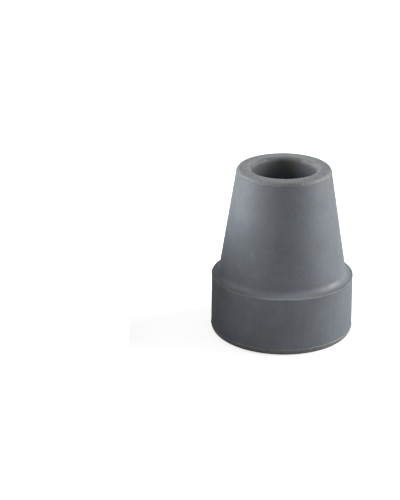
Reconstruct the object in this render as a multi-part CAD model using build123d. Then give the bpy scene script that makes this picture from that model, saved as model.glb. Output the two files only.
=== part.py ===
from build123d import *
import os
from math import acos, atan2, cos, hypot, pi, radians, sin, tan

# Rubber tip for the foot of a walking cane, moulded in one piece.
# Sizes are in millimetres. The origin is the centre of the tread, which stands on z = 0,
# and the cane's shaft goes in from above along the Z axis.

# The band round the foot
base_diameter = 41.2        # across the band at its foot, its widest place
band_height = 17.8          # tread to ledge
band_draft = 0.4            # degrees that the band's side leans in, so that the mould parts
tread_edge_radius = 2.0     # rounding from the tread up to the band

# The step from the band in to the neck
shoulder_radius = 0.15      # rounding of the band's upper edge
ledge_flat = 0.05           # level strip between that edge and the neck's root
neck_root_radius = 2.0      # hollow rounding where the neck rises from the ledge

# The neck's rim
height = 50.0               # tread to rim
rim_flat = 1.35             # level strip round the top of the rim
rim_edge_radius = 1.4       # rounding from the rim out to the neck's side

# The socket for the shaft
bore_diameter = 18.6        # grips a shaft of 19 mm (3/4 in)
bore_depth = 36.0           # rim to socket floor
mouth_radius = 1.6          # rounded lead-in at the mouth
bore_floor_radius = 1.0     # hollow rounding round the socket floor

# The tread, from the band inwards: a land, a groove, a ring, a groove and a centre disc
land_width = 5.45           # from the band's foot in to the outer groove
outer_groove_width = 3.4
ring_width = 3.3
inner_groove_width = 3.2
groove_depth = 2.6
groove_floor_flat = 0.4     # flat strip along a groove's floor, between its hollow corners
groove_edge_radius = 0.25   # rounding where a groove opens on the tread

# The bead of flash where the mould parts, at the foot, the shoulder and the rim
flash_radius = 0.12

# Radii that follow from those sizes
foot_radius = base_diameter / 2
bore_radius = bore_diameter / 2
shoulder_line_radius = foot_radius - (band_height - shoulder_radius) * tan(radians(band_draft))
ledge_inner_radius = shoulder_line_radius - shoulder_radius - ledge_flat
rim_flat_radius = bore_radius + mouth_radius + rim_flat
outer_groove_radius = foot_radius - land_width
ring_radius = outer_groove_radius - outer_groove_width
inner_groove_radius = ring_radius - ring_width


def neck_lean():
    """Angle in radians that the neck's side leans in: it is tangent to both its roundings."""
    across = ledge_inner_radius - rim_flat_radius
    up = height - rim_edge_radius - band_height - neck_root_radius
    return acos((neck_root_radius + rim_edge_radius) / hypot(across, up)) - atan2(up, across)


def rounded(section, corner, radius):
    """The section with its vertex nearest to the corner rounded."""
    return fillet(section.vertices().sort_by_distance(corner)[0], radius)


def body_section():
    """Half section of the moulding's outside: band, ledge, neck and rim."""
    reach = tan((pi / 2 - neck_lean()) / 2)
    foot = (foot_radius, 0)
    shoulder = (shoulder_line_radius, band_height)
    root = (ledge_inner_radius - neck_root_radius * reach, band_height)
    rim = (rim_flat_radius + rim_edge_radius * reach, height)
    section = make_face(Polyline((0, 0), foot, shoulder, root, rim, (0, height), close=True))
    section = rounded(section, foot, tread_edge_radius)
    section = rounded(section, shoulder, shoulder_radius)
    section = rounded(section, root, neck_root_radius)
    return rounded(section, rim, rim_edge_radius)


def flash_sections():
    """The bead of flash on each of the three lines where the mould parts."""
    lean = neck_lean()
    foot_line = (foot_radius, tread_edge_radius)
    shoulder_line = (shoulder_line_radius, band_height - shoulder_radius)
    rim_line = (
        rim_flat_radius + rim_edge_radius * cos(lean),
        height - rim_edge_radius * (1 - sin(lean)),
    )
    return [Pos(*line) * Circle(flash_radius) for line in (foot_line, shoulder_line, rim_line)]


def socket_section():
    """Half section of the socket, with its floor's corner rounded."""
    floor = height - bore_depth
    corner = (bore_radius, floor)
    section = make_face(
        Polyline((0, floor), corner, (bore_radius, height), (0, height), close=True)
    )
    return rounded(section, corner, bore_floor_radius)


def groove_section(outer_radius, width):
    """Section of one ring-shaped groove of the tread, with a round-cornered floor."""
    inner_radius = outer_radius - width
    floor_radius = (width - groove_floor_flat) / 2
    section = make_face(
        Polyline(
            (inner_radius, 0),
            (outer_radius, 0),
            (outer_radius, groove_depth),
            (inner_radius, groove_depth),
            close=True,
        )
    )
    for floor_corner in ((inner_radius, groove_depth), (outer_radius, groove_depth)):
        section = rounded(section, floor_corner, floor_radius)
    return section


def tip_section():
    """Half section of the whole tip."""
    section = body_section() + flash_sections() - socket_section()
    section = rounded(section, (bore_radius, height), mouth_radius)
    for outer_radius, width in (
        (outer_groove_radius, outer_groove_width),
        (inner_groove_radius, inner_groove_width),
    ):
        section -= groove_section(outer_radius, width)
        for edge_radius in (outer_radius, outer_radius - width):
            section = rounded(section, (edge_radius, 0), groove_edge_radius)
    return section


cane_tip = revolve(Plane.XZ * tip_section(), Axis.Z)

os.makedirs("parts", exist_ok=True)
export_step(cane_tip, "parts/cane_tip.step")
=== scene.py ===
from math import acos, atan2, cos, exp, hypot, pi, radians, sin, tan

import bpy
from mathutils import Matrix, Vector, noise


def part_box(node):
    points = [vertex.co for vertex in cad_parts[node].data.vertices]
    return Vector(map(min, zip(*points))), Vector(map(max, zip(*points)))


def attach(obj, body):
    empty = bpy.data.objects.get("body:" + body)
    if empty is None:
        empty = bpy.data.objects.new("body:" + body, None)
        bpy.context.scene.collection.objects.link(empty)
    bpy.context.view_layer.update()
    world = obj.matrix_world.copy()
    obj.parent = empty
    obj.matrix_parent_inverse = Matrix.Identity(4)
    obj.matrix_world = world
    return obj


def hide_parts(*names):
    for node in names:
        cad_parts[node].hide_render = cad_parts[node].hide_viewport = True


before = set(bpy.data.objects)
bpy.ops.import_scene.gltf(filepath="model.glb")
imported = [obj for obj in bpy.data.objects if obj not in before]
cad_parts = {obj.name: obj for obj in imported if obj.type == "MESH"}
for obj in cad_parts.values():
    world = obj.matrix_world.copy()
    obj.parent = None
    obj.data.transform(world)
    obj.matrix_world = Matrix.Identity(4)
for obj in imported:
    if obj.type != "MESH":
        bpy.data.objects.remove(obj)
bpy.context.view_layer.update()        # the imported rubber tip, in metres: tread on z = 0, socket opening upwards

NODE = "cane_tip"
BODY = "root"
SLOT = "grey_rubber"
MM = 0.001


# ---------------------------------------------------------------- camera

VIEW_PITCH = radians(21.66)             # how far the camera looks down
VIEW_DISTANCE = 519.7 * MM
VIEW_LENS = 126.95
SENSOR_WIDTH = 36.0
CLIP_START = 0.01
AIM = Vector((-23.9, 8.4, 21.16)) * MM  # left of the tip, which stands right of the view's middle


def make_camera():
    data = bpy.data.cameras.new("camera")
    data.lens = VIEW_LENS
    data.sensor_width = SENSOR_WIDTH
    data.clip_start = CLIP_START
    camera = bpy.data.objects.new("camera", data)
    camera.location = AIM + Vector((0, -cos(VIEW_PITCH), sin(VIEW_PITCH))) * VIEW_DISTANCE
    camera.rotation_euler = (pi / 2 - VIEW_PITCH, 0, 0)
    bpy.context.scene.collection.objects.link(camera)
    bpy.context.scene.camera = camera


# ---------------------------------------------------------------- the moulding's section

# Sizes in millimetres. The height and the width over the flash come from the CAD node.
FLASH = 0.12                # how far the bead of flash stands out
LOW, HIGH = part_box(NODE)
HEIGHT = (HIGH.z - LOW.z) / MM
FOOT_RADIUS = (HIGH.x - LOW.x) / MM / 2 - FLASH
BAND_HEIGHT = 17.8
BAND_DRAFT = radians(0.4)
FOOT_ROUND = 2.0
SHOULDER_ROUND = 0.15
LEDGE_FLAT = 0.05
ROOT_ROUND = 2.0
RIM_FLAT = 1.35
RIM_ROUND = 1.4
MOUTH_ROUND = 1.6
BORE_RADIUS = 9.3
BORE_DEPTH = 36.0
BORE_FLOOR_ROUND = 1.0
GROOVES = ((5.25, 8.45), (11.75, 15.15))    # inner and outer radius of each groove of the tread
GROOVE_DEPTH = 2.6
GROOVE_FLOOR_FLAT = 0.4
GROOVE_EDGE_ROUND = 0.25

SHOULDER_RADIUS = FOOT_RADIUS - (BAND_HEIGHT - SHOULDER_ROUND) * tan(BAND_DRAFT)
LEDGE_RADIUS = SHOULDER_RADIUS - SHOULDER_ROUND - LEDGE_FLAT
RIM_RADIUS = BORE_RADIUS + MOUTH_ROUND + RIM_FLAT

SEGMENTS = 240              # vertices in each ring
LONGEST_STEP = 0.7          # between two rings where the section is plain
SHORTEST_STEP = 0.05        # and across a bead of flash
STEP_GROWTH = 0.5           # how fast the step may grow with the distance from a bead
NO_STEP = 1e-6              # two points closer than this are one
ARC_STEP = radians(11)
FEWEST_ARC_STEPS = 3


def neck_lean():
    """How far the neck's side leans in: it is tangent to both its roundings."""
    across = LEDGE_RADIUS - RIM_RADIUS
    up = HEIGHT - RIM_ROUND - BAND_HEIGHT - ROOT_ROUND
    return acos((ROOT_ROUND + RIM_ROUND) / hypot(across, up)) - atan2(up, across)


def tip_corners():
    """Corners as (radius, height, rounding), from the tread's middle to the socket's floor."""
    corners = [(0, 0, 0)]
    for inner, outer in GROOVES:
        floor_round = (outer - inner - GROOVE_FLOOR_FLAT) / 2
        corners += [
            (inner, 0, GROOVE_EDGE_ROUND),
            (inner, GROOVE_DEPTH, floor_round),
            (outer, GROOVE_DEPTH, floor_round),
            (outer, 0, GROOVE_EDGE_ROUND),
        ]
    reach = tan((pi / 2 - neck_lean()) / 2)
    return corners + [
        (FOOT_RADIUS, 0, FOOT_ROUND),
        (SHOULDER_RADIUS, BAND_HEIGHT, SHOULDER_ROUND),
        (LEDGE_RADIUS - ROOT_ROUND * reach, BAND_HEIGHT, ROOT_ROUND),
        (RIM_RADIUS + RIM_ROUND * reach, HEIGHT, RIM_ROUND),
        (BORE_RADIUS, HEIGHT, MOUTH_ROUND),
        (BORE_RADIUS, HEIGHT - BORE_DEPTH, BORE_FLOOR_ROUND),
        (0, HEIGHT - BORE_DEPTH, 0),
    ]


def turned_corner(before, corner, after):
    """Points along the rounding of one corner."""
    at = Vector(corner[:2])
    radius = corner[2]
    towards_before = (Vector(before[:2]) - at).normalized()
    towards_after = (Vector(after[:2]) - at).normalized()
    half = towards_before.angle(towards_after) / 2
    middle = (towards_before + towards_after).normalized()
    centre = at + middle * (radius / sin(half))
    start = at + towards_before * (radius / tan(half)) - centre
    end = at + towards_after * (radius / tan(half)) - centre
    turn = start.angle_signed(end)
    steps = max(FEWEST_ARC_STEPS, round(abs(turn) / ARC_STEP))
    points = []
    for i in range(steps + 1):
        angle = -turn * i / steps
        x = start.x * cos(angle) - start.y * sin(angle)
        y = start.x * sin(angle) + start.y * cos(angle)
        points.append(centre + Vector((x, y)))
    return points


def parting_points():
    """Where the section crosses the mould's parting lines: at the foot, shoulder and rim."""
    lean = neck_lean()
    return [
        Vector((FOOT_RADIUS, FOOT_ROUND)),
        Vector((SHOULDER_RADIUS, BAND_HEIGHT - SHOULDER_ROUND)),
        Vector((RIM_RADIUS + RIM_ROUND * cos(lean), HEIGHT - RIM_ROUND * (1 - sin(lean)))),
    ]


def divided(start, end, lines):
    """Points from start up to, not including, end, closer together near a parting line."""
    away = min(((start + end) / 2 - line).length for line in lines)
    allowed = min(LONGEST_STEP, max(SHORTEST_STEP, away * STEP_GROWTH))
    if (end - start).length <= allowed:
        return [start]
    middle = (start + end) / 2
    return divided(start, middle, lines) + divided(middle, end, lines)


def tip_outline():
    """The whole half section as closely spaced points."""
    corners = tip_corners()
    path = [Vector(corners[0][:2])]
    for before, corner, after in zip(corners, corners[1:], corners[2:]):
        path += turned_corner(before, corner, after)
    path.append(Vector(corners[-1][:2]))
    lines = parting_points()
    outline = []
    for start, end in zip(path, path[1:]):
        if (end - start).length > NO_STEP:
            outline += divided(start, end, lines)
    return outline + [path[-1]]


# ---------------------------------------------------------------- the moulding's unevenness

SEED_SHIFT = (17.3, 5.1, 9.7)           # moves each seed's noise to a place of its own
KEPT_FLASH, LEAST_FLASH = 0.62, 0.1     # share of a bead that is left on the whole, and at least
FOOT_LINE = 0                           # the first of the parting lines
TEARING = 0.42                          # the foot's bead is torn away where the noise is higher
LEVEL_TREAD = 0.3                       # below this height the surface keeps to its section

RIM_DIP = 0.12                          # of the rim's top, outside the mouth's lip
RIM_DIP_START = BORE_RADIUS + MOUTH_ROUND * 0.8
RIM_DIP_END = RIM_RADIUS + RIM_ROUND

LEDGE_SAG = 0.24                        # of the ledge and the band's edge, at the shoulder
SAG_INWARDS = 1.5                       # it begins this far inside the ledge
SAG_BELOW, SAG_FULL_BELOW = 1.6, 0.1    # below the ledge, where it begins and where it is full


def wander(position, grain, seed):
    """Smooth noise from -1 to 1 over the surface, with a grain of so many millimetres."""
    return noise.noise(position / grain + Vector([seed * shift for shift in SEED_SHIFT]))


def clamped(value):
    return min(1.0, max(0.0, value))


def eased(value, start, end):
    """How far the value is from start to end, from 0 to 1, easing in and out."""
    along = clamped((value - start) / (end - start))
    return along * along * (3 - 2 * along)


def flash_bead(section_point, position, line, index):
    """How far a bead of flash stands out here: trimmed by hand, so it isn't even."""
    away = (section_point - line).length
    if away >= FLASH:
        return 0.0
    kept = KEPT_FLASH + 0.3 * wander(position, grain=5.0, seed=index + 1)
    kept += 0.2 * wander(position, grain=1.1, seed=index + 4)
    if index == FOOT_LINE and wander(position, grain=2.2, seed=11) >= TEARING:
        kept = LEAST_FLASH
    return (FLASH**2 - away**2) ** 0.5 * min(1.0, max(LEAST_FLASH, kept))


def unevenness(position):
    """The slow waviness of a soft moulding that has cooled and been handled."""
    waves = 0.035 * wander(position, grain=16.0, seed=21)
    return waves + 0.012 * wander(position, grain=4.0, seed=22)


def rim_crown(section_point):
    """The rim's top dips a little outside the mouth's lip, which stands highest."""
    if section_point.y < HEIGHT - RIM_ROUND or not RIM_DIP_START < section_point.x < RIM_DIP_END:
        return 0.0
    across = (section_point.x - RIM_DIP_START) / (RIM_DIP_END - RIM_DIP_START)
    return -RIM_DIP * sin(pi * across)


def ledge_sag(section_point):
    """The ledge sinks a little towards the shoulder, and takes the band's upper edge along."""
    if section_point.y > HEIGHT / 2:
        return 0.0
    outwards = eased(section_point.x, LEDGE_RADIUS - SAG_INWARDS, SHOULDER_RADIUS)
    upwards = eased(section_point.y, BAND_HEIGHT - SAG_BELOW, BAND_HEIGHT - SAG_FULL_BELOW)
    return LEDGE_SAG * outwards * upwards


# ---------------------------------------------------------------- the moulding's mesh


def section_normals(outline):
    """The outward direction at each point of the section."""
    normals = []
    for i in range(len(outline)):
        along = outline[min(i + 1, len(outline) - 1)] - outline[max(i - 1, 0)]
        normals.append(Vector((along.y, -along.x)).normalized())
    return normals


def lathe_vertices(outline):
    """The vertices of every ring, without the section's two end points on the axis."""
    lines = parting_points()
    normals = section_normals(outline)
    vertices = []
    for point, normal in zip(outline[1:-1], normals[1:-1]):
        for segment in range(SEGMENTS):
            angle = 2 * pi * segment / SEGMENTS
            out = Vector((cos(angle), sin(angle), 0))
            position = out * point.x + Vector((0, 0, point.y))
            stand = unevenness(position) + rim_crown(point) if point.y > LEVEL_TREAD else 0.0
            for index, line in enumerate(lines):
                stand += flash_bead(point, position, line, index)
            position += (out * normal.x + Vector((0, 0, normal.y))) * stand
            position.z -= ledge_sag(point)
            vertices.append(position * MM)
    return vertices


def lathe_faces(rings):
    """Quads between the rings and a fan at each end; the end points come last."""
    faces = []
    for ring in range(rings - 1):
        for segment in range(SEGMENTS):
            following = (segment + 1) % SEGMENTS
            low, high = ring * SEGMENTS, (ring + 1) * SEGMENTS
            faces.append((low + segment, low + following, high + following, high + segment))
    first, last = rings * SEGMENTS, rings * SEGMENTS + 1
    top = (rings - 1) * SEGMENTS
    for segment in range(SEGMENTS):
        following = (segment + 1) % SEGMENTS
        faces.append((first, following, segment))
        faces.append((last, top + segment, top + following))
    return faces


# ---------------------------------------------------------------- where wear, dirt, painted shade and painted highlights show

# Each mask is 0 to 1 at a point of the section. Distances are in millimetres.
PARTING_SHOWS = (1.0, 1.0, 0.45)        # at the foot, the shoulder and the rim
PARTING_SPREAD = 0.22
LIP_CREST = Vector((BORE_RADIUS + MOUTH_ROUND * 0.6, HEIGHT - MOUTH_ROUND * 0.08))
LIP_SPREAD = 0.5
TREAD_WORN, TREAD_FADE = 0.5, 1.2       # fully worn up to the first, and fading over the second
GROOVE_FADE = 1.5
GROOVE_MARGIN = 0.1
FOOT_FADE = 0.5
RIM_MARGIN, RIM_FADE = 0.3, 0.8
MOUTH_EDGE = BORE_RADIUS + MOUTH_ROUND * 0.3
FILM_DEPTH, FILM_FADE = 8, 3
SLACK = 0.01                            # takes in a floor that is only just at its depth


def parting_mask(point):
    """The foot's and shoulder's lines show most, and the rim's is half rubbed away."""
    return max(
        shows * exp(-(((point - line).length / PARTING_SPREAD) ** 2))
        for shows, line in zip(PARTING_SHOWS, parting_points())
    )


def lip_highlight_mask(point):
    """The crest of the mouth's rounding, painted paler all round as a painted highlight."""
    return exp(-(((point - LIP_CREST).length / LIP_SPREAD) ** 2))


def tread_mask(point):
    return clamped(1 - (point.y - TREAD_WORN) / TREAD_FADE)


def groove_mask(point):
    inside = any(
        inner - GROOVE_MARGIN < point.x < outer + GROOVE_MARGIN for inner, outer in GROOVES
    )
    return clamped(point.y / GROOVE_FADE) if inside and point.y < GROOVE_DEPTH + SLACK else 0.0


def foot_tint_and_bounce_mask(point):
    """The rounding under the foot's parting line, given a yellowed tint and painted paler as painted bounce light
    from the floor.
    """
    outside = point.x > FOOT_RADIUS - FOOT_ROUND
    return clamped((FOOT_ROUND - point.y) / FOOT_FADE) if outside else 0.0


def rim_mask(point):
    return clamped((point.y - HEIGHT + RIM_ROUND + RIM_MARGIN) / RIM_FADE)


def socket_mask(point):
    """From 0 at the mouth to 1 on the socket's floor."""
    inside = point.x < BORE_RADIUS + MOUTH_ROUND and point.y > HEIGHT - BORE_DEPTH - SLACK
    return clamped((HEIGHT - point.y) / BORE_DEPTH) if inside else 0.0


def mouth_mask(point):
    """The upper wall of the socket, from the mouth's rounding down."""
    inside = point.x < MOUTH_EDGE and point.y > HEIGHT - FILM_DEPTH
    return clamped((point.y - HEIGHT + FILM_DEPTH) / FILM_FADE) if inside else 0.0


MASKS = {
    "parting": parting_mask,
    "tread": tread_mask,
    "groove": groove_mask,
    "foot": foot_tint_and_bounce_mask,
    "rim": rim_mask,
    "lip": lip_highlight_mask,
    "mouth": mouth_mask,
    "socket": socket_mask,
}


def add_mask(mesh, name, mask, outline):
    """The mask's value at each point of the section, given to every vertex of its ring."""
    values = []
    for point in outline[1:-1]:
        values += [mask(point)] * SEGMENTS
    values += [mask(outline[0]), mask(outline[-1])]
    mesh.attributes.new(name, "FLOAT", "POINT").data.foreach_set("value", values)


def make_tip():
    outline = tip_outline()
    vertices = lathe_vertices(outline)
    vertices += [Vector((0, 0, outline[0].y)) * MM, Vector((0, 0, outline[-1].y)) * MM]
    mesh = bpy.data.meshes.new("rubber_tip")
    mesh.from_pydata(vertices, [], lathe_faces(len(outline) - 2))
    for name, mask in MASKS.items():
        add_mask(mesh, name, mask, outline)
    mesh.polygons.foreach_set("use_smooth", [True] * len(mesh.polygons))
    mesh.update()
    tip = bpy.data.objects.new("rubber_tip", mesh)
    bpy.context.scene.collection.objects.link(tip)
    return tip


# ---------------------------------------------------------------- materials

RUBBER = (0.170, 0.184, 0.203, 1)
BLOOMED = (0.190, 0.208, 0.236, 1)      # where the rubber has greyed on its surface
SMUDGED = (0.196, 0.219, 0.258, 1)      # blue-grey marks left by handling
DULLED = (0.135, 0.143, 0.152, 1)       # faint streaks along the draw of the mould
SCUFFED = (0.208, 0.222, 0.230, 1)      # rim and tread, rubbed paler
# pale wear and scratches, and the painted highlight on the mouth's lip
PALE_WEAR_AND_HIGHLIGHT = (0.290, 0.305, 0.310, 1)       # scratches, the mouth's lip and the palest wear
SOILED = (0.122, 0.124, 0.112, 1)       # dirt held in the wear
FLASH_TINT = (0.330, 0.338, 0.290, 1)   # the yellowed bead of flash
# yellowed tint, painted paler as painted bounce light on the foot's underside
YELLOWED_AND_BOUNCE_LIT = (0.268, 0.266, 0.236, 1)     # the foot's edge below its parting line
OLIVE_FILM = (0.130, 0.122, 0.085, 1)   # inside the mouth
# dark specks and dirt, and the painted shade deep in the socket
GRIME_AND_SHADE = (0.030, 0.030, 0.030, 1)        # specks, the grooves' floors and the depth of the socket
RUBBER_IOR = 1.52
COLOUR_A, COLOUR_B, MIXED_COLOUR = 6, 7, 2      # the colour sockets of a Mix node


class Nodes:
    """A material's node tree, with short names for the nodes used here. A grain and a bump's
    distance are in millimetres."""

    def __init__(self, name):
        self.material = bpy.data.materials.new(name)
        self.material.use_nodes = True
        self.tree = self.material.node_tree
        self.tree.nodes.clear()
        self.place = self.add("ShaderNodeTexCoord").outputs["Object"]

    def add(self, kind, **settings):
        node = self.tree.nodes.new(kind)
        for key, value in settings.items():
            setattr(node, key, value)
        return node

    def link(self, source, target):
        self.tree.links.new(source, target)

    def set(self, socket, value):
        if isinstance(value, bpy.types.NodeSocket):
            self.link(value, socket)
        else:
            socket.default_value = value

    def noise(self, grain, detail=3, stretch=(1, 1, 1)):
        """Noise from 0 to 1."""
        mapping = self.add("ShaderNodeMapping")
        self.link(self.place, mapping.inputs["Vector"])
        mapping.inputs["Scale"].default_value = stretch
        texture = self.add("ShaderNodeTexNoise")
        self.link(mapping.outputs["Vector"], texture.inputs["Vector"])
        texture.inputs["Scale"].default_value = 1 / (grain * MM)
        texture.inputs["Detail"].default_value = detail
        return texture.outputs["Fac"]

    def mask(self, name):
        return self.add("ShaderNodeAttribute", attribute_name=name).outputs["Fac"]

    def ramp(self, value, between, strength=(0.0, 1.0)):
        """Eases from the first strength to the second as the value goes between its limits."""
        node = self.add("ShaderNodeMapRange", interpolation_type="SMOOTHSTEP")
        keys = ("Value", "From Min", "From Max", "To Min", "To Max")
        for key, setting in zip(keys, (value, *between, *strength)):
            self.set(node.inputs[key], setting)
        return node.outputs["Result"]

    def patches(self, grain, between, strength=(0.0, 1.0), detail=3, stretch=(1, 1, 1)):
        """Soft-edged patches, where the noise is high."""
        return self.ramp(self.noise(grain, detail, stretch), between, strength)

    def math(self, operation, a, b=0.0):
        node = self.add("ShaderNodeMath", operation=operation)
        self.set(node.inputs[0], a)
        self.set(node.inputs[1], b)
        return node.outputs[0]

    def both(self, a, b):
        return self.math("MULTIPLY", a, b)

    def worn(self):
        return self.math("MAXIMUM", self.mask("rim"), self.mask("tread"))

    def mix(self, factor, a, b):
        node = self.add("ShaderNodeMix", data_type="RGBA")
        self.set(node.inputs["Factor"], factor)
        self.set(node.inputs[COLOUR_A], a)
        self.set(node.inputs[COLOUR_B], b)
        return node.outputs[MIXED_COLOUR]

    def bump(self, height, strength, distance, after=None):
        """Relief that rises with the height, on top of the relief given as after."""
        node = self.add("ShaderNodeBump")
        self.link(height, node.inputs["Height"])
        node.inputs["Strength"].default_value = strength
        node.inputs["Distance"].default_value = distance * MM
        if after:
            self.link(after, node.inputs["Normal"])
        return node.outputs["Normal"]

    def mix_shaders(self, factor, a, b):
        node = self.add("ShaderNodeMixShader")
        self.set(node.inputs["Fac"], factor)
        self.link(a, node.inputs[1])
        self.link(b, node.inputs[2])
        return node.outputs[0]

    def diffuse(self, grey):
        node = self.add("ShaderNodeBsdfDiffuse")
        node.inputs["Color"].default_value = (grey, grey, grey, 1)
        return node.outputs[0]

    def finished(self, surface):
        self.link(surface, self.add("ShaderNodeOutputMaterial").inputs["Surface"])
        return self.material


def scratches(nodes):
    """Hair-fine marks where the noise crosses its middle, in a few places only."""
    off_middle = nodes.math("SUBTRACT", nodes.noise(grain=15, detail=0), 0.5)
    off_middle = nodes.math("ABSOLUTE", off_middle)
    hair = nodes.ramp(off_middle, between=(0, 0.006), strength=(0.35, 0))
    return nodes.both(hair, nodes.patches(grain=5, between=(0.52, 0.60)))


def surface_colour(nodes):
    """The grey of the moulding: broad bloom, blue smudges and streaks down the draw."""
    bloom = nodes.patches(grain=11, between=(0.35, 0.65))
    colour = nodes.mix(bloom, RUBBER, BLOOMED)
    smudges = nodes.patches(grain=3.2, between=(0.48, 0.68), strength=(0, 0.38), detail=5)
    colour = nodes.mix(smudges, colour, SMUDGED)
    streaks = nodes.patches(
        grain=1.5, between=(0.52, 0.74), strength=(0, 0.22), stretch=(1, 1, 0.16)
    )
    colour = nodes.mix(streaks, colour, DULLED)
    marks = nodes.patches(grain=1.7, between=(0.55, 0.62), strength=(0, 0.55), detail=5)
    where = nodes.patches(grain=13, between=(0.47, 0.62), detail=2)
    colour = nodes.mix(nodes.both(marks, where), colour, SMUDGED)
    colour = nodes.mix(scratches(nodes), colour, PALE_WEAR_AND_HIGHLIGHT)
    specks = nodes.patches(grain=0.42, between=(0.64, 0.74), strength=(0, 0.35), detail=2)
    return nodes.mix(specks, colour, GRIME_AND_SHADE)


def with_wear(nodes, colour):
    """Rim and tread are rubbed paler, and hold more specks of dirt. The mouth's lip gets a painted highlight."""
    worn = nodes.worn()
    scuffs = nodes.patches(grain=1.3, between=(0.32, 0.62), strength=(0.4, 0.95), detail=4)
    colour = nodes.mix(nodes.both(worn, scuffs), colour, SCUFFED)
    dirt = nodes.patches(grain=0.75, between=(0.52, 0.68), strength=(0, 0.6), detail=4)
    colour = nodes.mix(nodes.both(worn, dirt), colour, SOILED)
    rubbed = nodes.patches(grain=0.5, between=(0.60, 0.72), strength=(0, 0.55), detail=2)
    colour = nodes.mix(nodes.both(worn, rubbed), colour, PALE_WEAR_AND_HIGHLIGHT)
    # painted highlight: the crest of the mouth's lip is painted paler all round
    painted_lip_highlight = nodes.patches(grain=2, between=(0.30, 0.60), strength=(0.3, 0.8))
    return nodes.mix(nodes.both(nodes.mask("lip"), painted_lip_highlight), colour, PALE_WEAR_AND_HIGHLIGHT)


def with_flash(nodes, colour):
    """The trimmed flash is a thin yellowed line that comes and goes. Below the foot's line, a yellowed tint
    painted paler as painted bounce light.
    """
    line = nodes.patches(grain=4.5, between=(0.36, 0.60), strength=(0.15, 0.85), detail=4)
    colour = nodes.mix(nodes.both(nodes.mask("parting"), line), colour, FLASH_TINT)
    # painted bounce light: the foot's downward rounding is painted paler, with a yellowed tint
    tint_and_bounce = nodes.patches(grain=1.6, between=(0.35, 0.62), strength=(0.25, 0.9))
    return nodes.mix(nodes.both(nodes.mask("foot"), tint_and_bounce), colour, YELLOWED_AND_BOUNCE_LIT)


def with_grime_and_shade(nodes, colour):
    """Dirt on the grooves' floors, an olive film inside the mouth, and painted shade that darkens the socket below
    the lip and towards its floor.
    """
    dirt = nodes.patches(grain=2.5, between=(0.3, 0.7), strength=(0.25, 0.6), detail=4)
    colour = nodes.mix(nodes.both(nodes.mask("groove"), dirt), colour, GRIME_AND_SHADE)
    film = nodes.patches(grain=5, between=(0.44, 0.66), strength=(0, 0.6), detail=4)
    colour = nodes.mix(nodes.both(nodes.mask("mouth"), film), colour, OLIVE_FILM)
    # painted shade: the socket is painted darker just below the lip, and darker still towards its floor
    painted_shade_below_lip = nodes.ramp(nodes.mask("socket"), between=(0, 0.06), strength=(0, 0.35))
    colour = nodes.mix(painted_shade_below_lip, colour, GRIME_AND_SHADE)
    painted_depth_shade = nodes.ramp(nodes.mask("socket"), between=(0.01, 0.42), strength=(0, 0.88))
    return nodes.mix(painted_depth_shade, colour, GRIME_AND_SHADE)


def rubber_colour(nodes):
    colour = with_wear(nodes, surface_colour(nodes))
    return with_grime_and_shade(nodes, with_flash(nodes, colour))


def rubber_roughness(nodes):
    """Semi-matt, uneven from handling, and rougher where it is worn."""
    handled = nodes.patches(grain=5, between=(0.35, 0.65), strength=(0.47, 0.62), detail=5)
    rougher = nodes.patches(grain=0.8, between=(0.3, 0.7), strength=(0.02, 0.16))
    return nodes.math("ADD", handled, nodes.both(nodes.worn(), rougher))


def rubber_bump(nodes):
    """The mould's fine grain, soft dents, streaks down the draw, and pits and tears."""
    grain = nodes.bump(nodes.noise(grain=0.3), strength=0.35, distance=0.03)
    dents = nodes.patches(grain=2.4, between=(0.35, 0.75), detail=5)
    dented = nodes.bump(dents, strength=0.5, distance=0.05, after=grain)
    streaks = nodes.noise(grain=0.9, stretch=(1, 1, 0.12))
    drawn = nodes.bump(streaks, strength=0.35, distance=0.03, after=dented)
    pits = nodes.both(nodes.worn(), nodes.patches(grain=0.55, between=(0.52, 0.72)))
    pitted = nodes.bump(pits, strength=0.9, distance=-0.09, after=drawn)
    tears = nodes.both(nodes.mask("parting"), nodes.noise(grain=0.6))
    return nodes.bump(tears, strength=0.8, distance=0.08, after=pitted)


def make_rubber():
    nodes = Nodes(SLOT)
    shader = nodes.add("ShaderNodeBsdfPrincipled")
    nodes.link(rubber_colour(nodes), shader.inputs["Base Color"])
    nodes.link(rubber_roughness(nodes), shader.inputs["Roughness"])
    nodes.link(rubber_bump(nodes), shader.inputs["Normal"])
    shader.inputs["IOR"].default_value = RUBBER_IOR
    return nodes.finished(shader.outputs["BSDF"])


# ---------------------------------------------------------------- floor, lamps and world

FLOOR_HALF_SIDE = 4.0
FLOOR_GAP = 0.02 * MM       # keeps the tread off the floor
FLOOR_GREY = 0.5            # as the tip sees it
FLOOR_WHITE = 0.95          # as the camera sees it, with a glow that brings it to white
FLOOR_GLOW = 0.76

SOFTBOX_SIDE = 0.22
LEFT_SOFTBOX, LEFT_POWER = (-0.34, 0.03, 0.16), 1.7
RIGHT_SOFTBOX, RIGHT_POWER = (0.34, 0.03, 0.18), 1.6

NET_GREY = 0.03
NET_THREADS = 0.9           # share of the net that is thread and not holes
NET_GAP = 24 * MM           # between the tip and the net
NET_NEAR, NET_FAR, NET_TOP = -26 * MM, 48 * MM, 41 * MM

FILL = 0.27                 # what the white surround gives matt surfaces
MIRRORED_FILL = 0.45        # and what it gives a sheen


def make_sheet(name, corners, material):
    """A flat four-sided sheet."""
    mesh = bpy.data.meshes.new(name)
    mesh.from_pydata(corners, [], [(0, 1, 2, 3)])
    mesh.materials.append(material)
    sheet = bpy.data.objects.new(name, mesh)
    bpy.context.scene.collection.objects.link(sheet)
    return sheet


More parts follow.
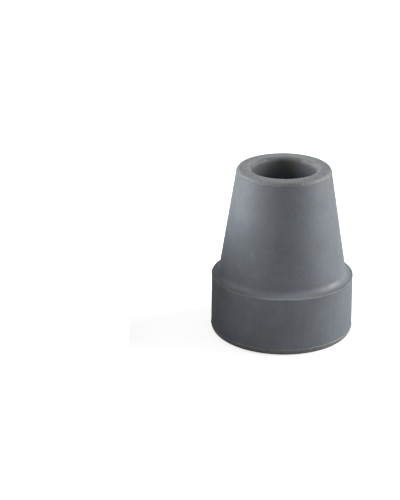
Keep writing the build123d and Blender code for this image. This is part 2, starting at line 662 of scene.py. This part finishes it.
def make_floor_material():
    """Pale floor: the camera sees white where nothing shades it, and the tip's shadow on it."""
    nodes = Nodes("floor")
    glow = nodes.add("ShaderNodeEmission")
    glow.inputs["Strength"].default_value = FLOOR_GLOW
    white = nodes.add("ShaderNodeAddShader")
    nodes.link(nodes.diffuse(FLOOR_WHITE), white.inputs[0])
    nodes.link(glow.outputs[0], white.inputs[1])
    is_camera = nodes.add("ShaderNodeLightPath").outputs["Is Camera Ray"]
    return nodes.finished(
        nodes.mix_shaders(is_camera, nodes.diffuse(FLOOR_GREY), white.outputs[0])
    )


def make_floor():
    side = FLOOR_HALF_SIDE
    corners = [(-side, -side, 0), (side, -side, 0), (side, side, 0), (-side, side, 0)]
    floor = make_sheet("floor", corners, make_floor_material())
    floor.location.z = LOW.z - FLOOR_GAP
    return floor


def make_flag():
    """A dark net low on the tip's left, unseen by the camera, that holds back light there."""
    nodes = Nodes("flag")
    holes = nodes.add("ShaderNodeBsdfTransparent").outputs[0]
    net = nodes.mix_shaders(NET_THREADS, holes, nodes.diffuse(NET_GREY))
    corners = [(0, NET_NEAR, 0), (0, NET_FAR, 0), (0, NET_FAR, NET_TOP), (0, NET_NEAR, NET_TOP)]
    flag = make_sheet("flag", corners, nodes.finished(net))
    flag.location.x = LOW.x - NET_GAP
    flag.visible_camera = False
    return flag


def make_softbox(name, location, power):
    """A square lamp that faces the middle of the tip."""
    data = bpy.data.lights.new(name, "AREA")
    data.shape = "RECTANGLE"
    data.size = data.size_y = SOFTBOX_SIDE
    data.energy = power
    lamp = bpy.data.objects.new(name, data)
    lamp.location = location
    towards = Vector((0, 0, HEIGHT * MM / 2)) - Vector(location)
    lamp.rotation_euler = towards.to_track_quat("-Z", "Y").to_euler()
    bpy.context.scene.collection.objects.link(lamp)


def make_world():
    """White behind everything, and a low even fill for the object."""
    world = bpy.data.worlds.new("studio")
    world.use_nodes = True
    tree = world.node_tree
    light_path = tree.nodes.new("ShaderNodeLightPath")
    mirrored = tree.nodes.new("ShaderNodeMath")
    mirrored.operation = "MAXIMUM"
    tree.links.new(light_path.outputs["Is Glossy Ray"], mirrored.inputs[0])
    tree.links.new(light_path.outputs["Is Transmission Ray"], mirrored.inputs[1])
    fill = tree.nodes.new("ShaderNodeMapRange")
    tree.links.new(mirrored.outputs[0], fill.inputs["Value"])
    fill.inputs["To Min"].default_value = FILL
    fill.inputs["To Max"].default_value = MIRRORED_FILL
    seen = tree.nodes.new("ShaderNodeMath")
    seen.operation = "MAXIMUM"
    tree.links.new(light_path.outputs["Is Camera Ray"], seen.inputs[0])
    tree.links.new(fill.outputs["Result"], seen.inputs[1])
    background = tree.nodes["Background"]
    background.inputs["Color"].default_value = (1, 1, 1, 1)
    tree.links.new(seen.outputs[0], background.inputs["Strength"])
    bpy.context.scene.world = world


# ---------------------------------------------------------------- scene

make_camera()
make_world()
make_softbox("left_softbox", LEFT_SOFTBOX, LEFT_POWER)
make_softbox("right_softbox", RIGHT_SOFTBOX, RIGHT_POWER)
make_floor()
make_flag()

tip = make_tip()
tip.data.materials.append(make_rubber())
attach(tip, BODY)
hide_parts(NODE)

bpy.context.scene.view_settings.view_transform = "Standard"
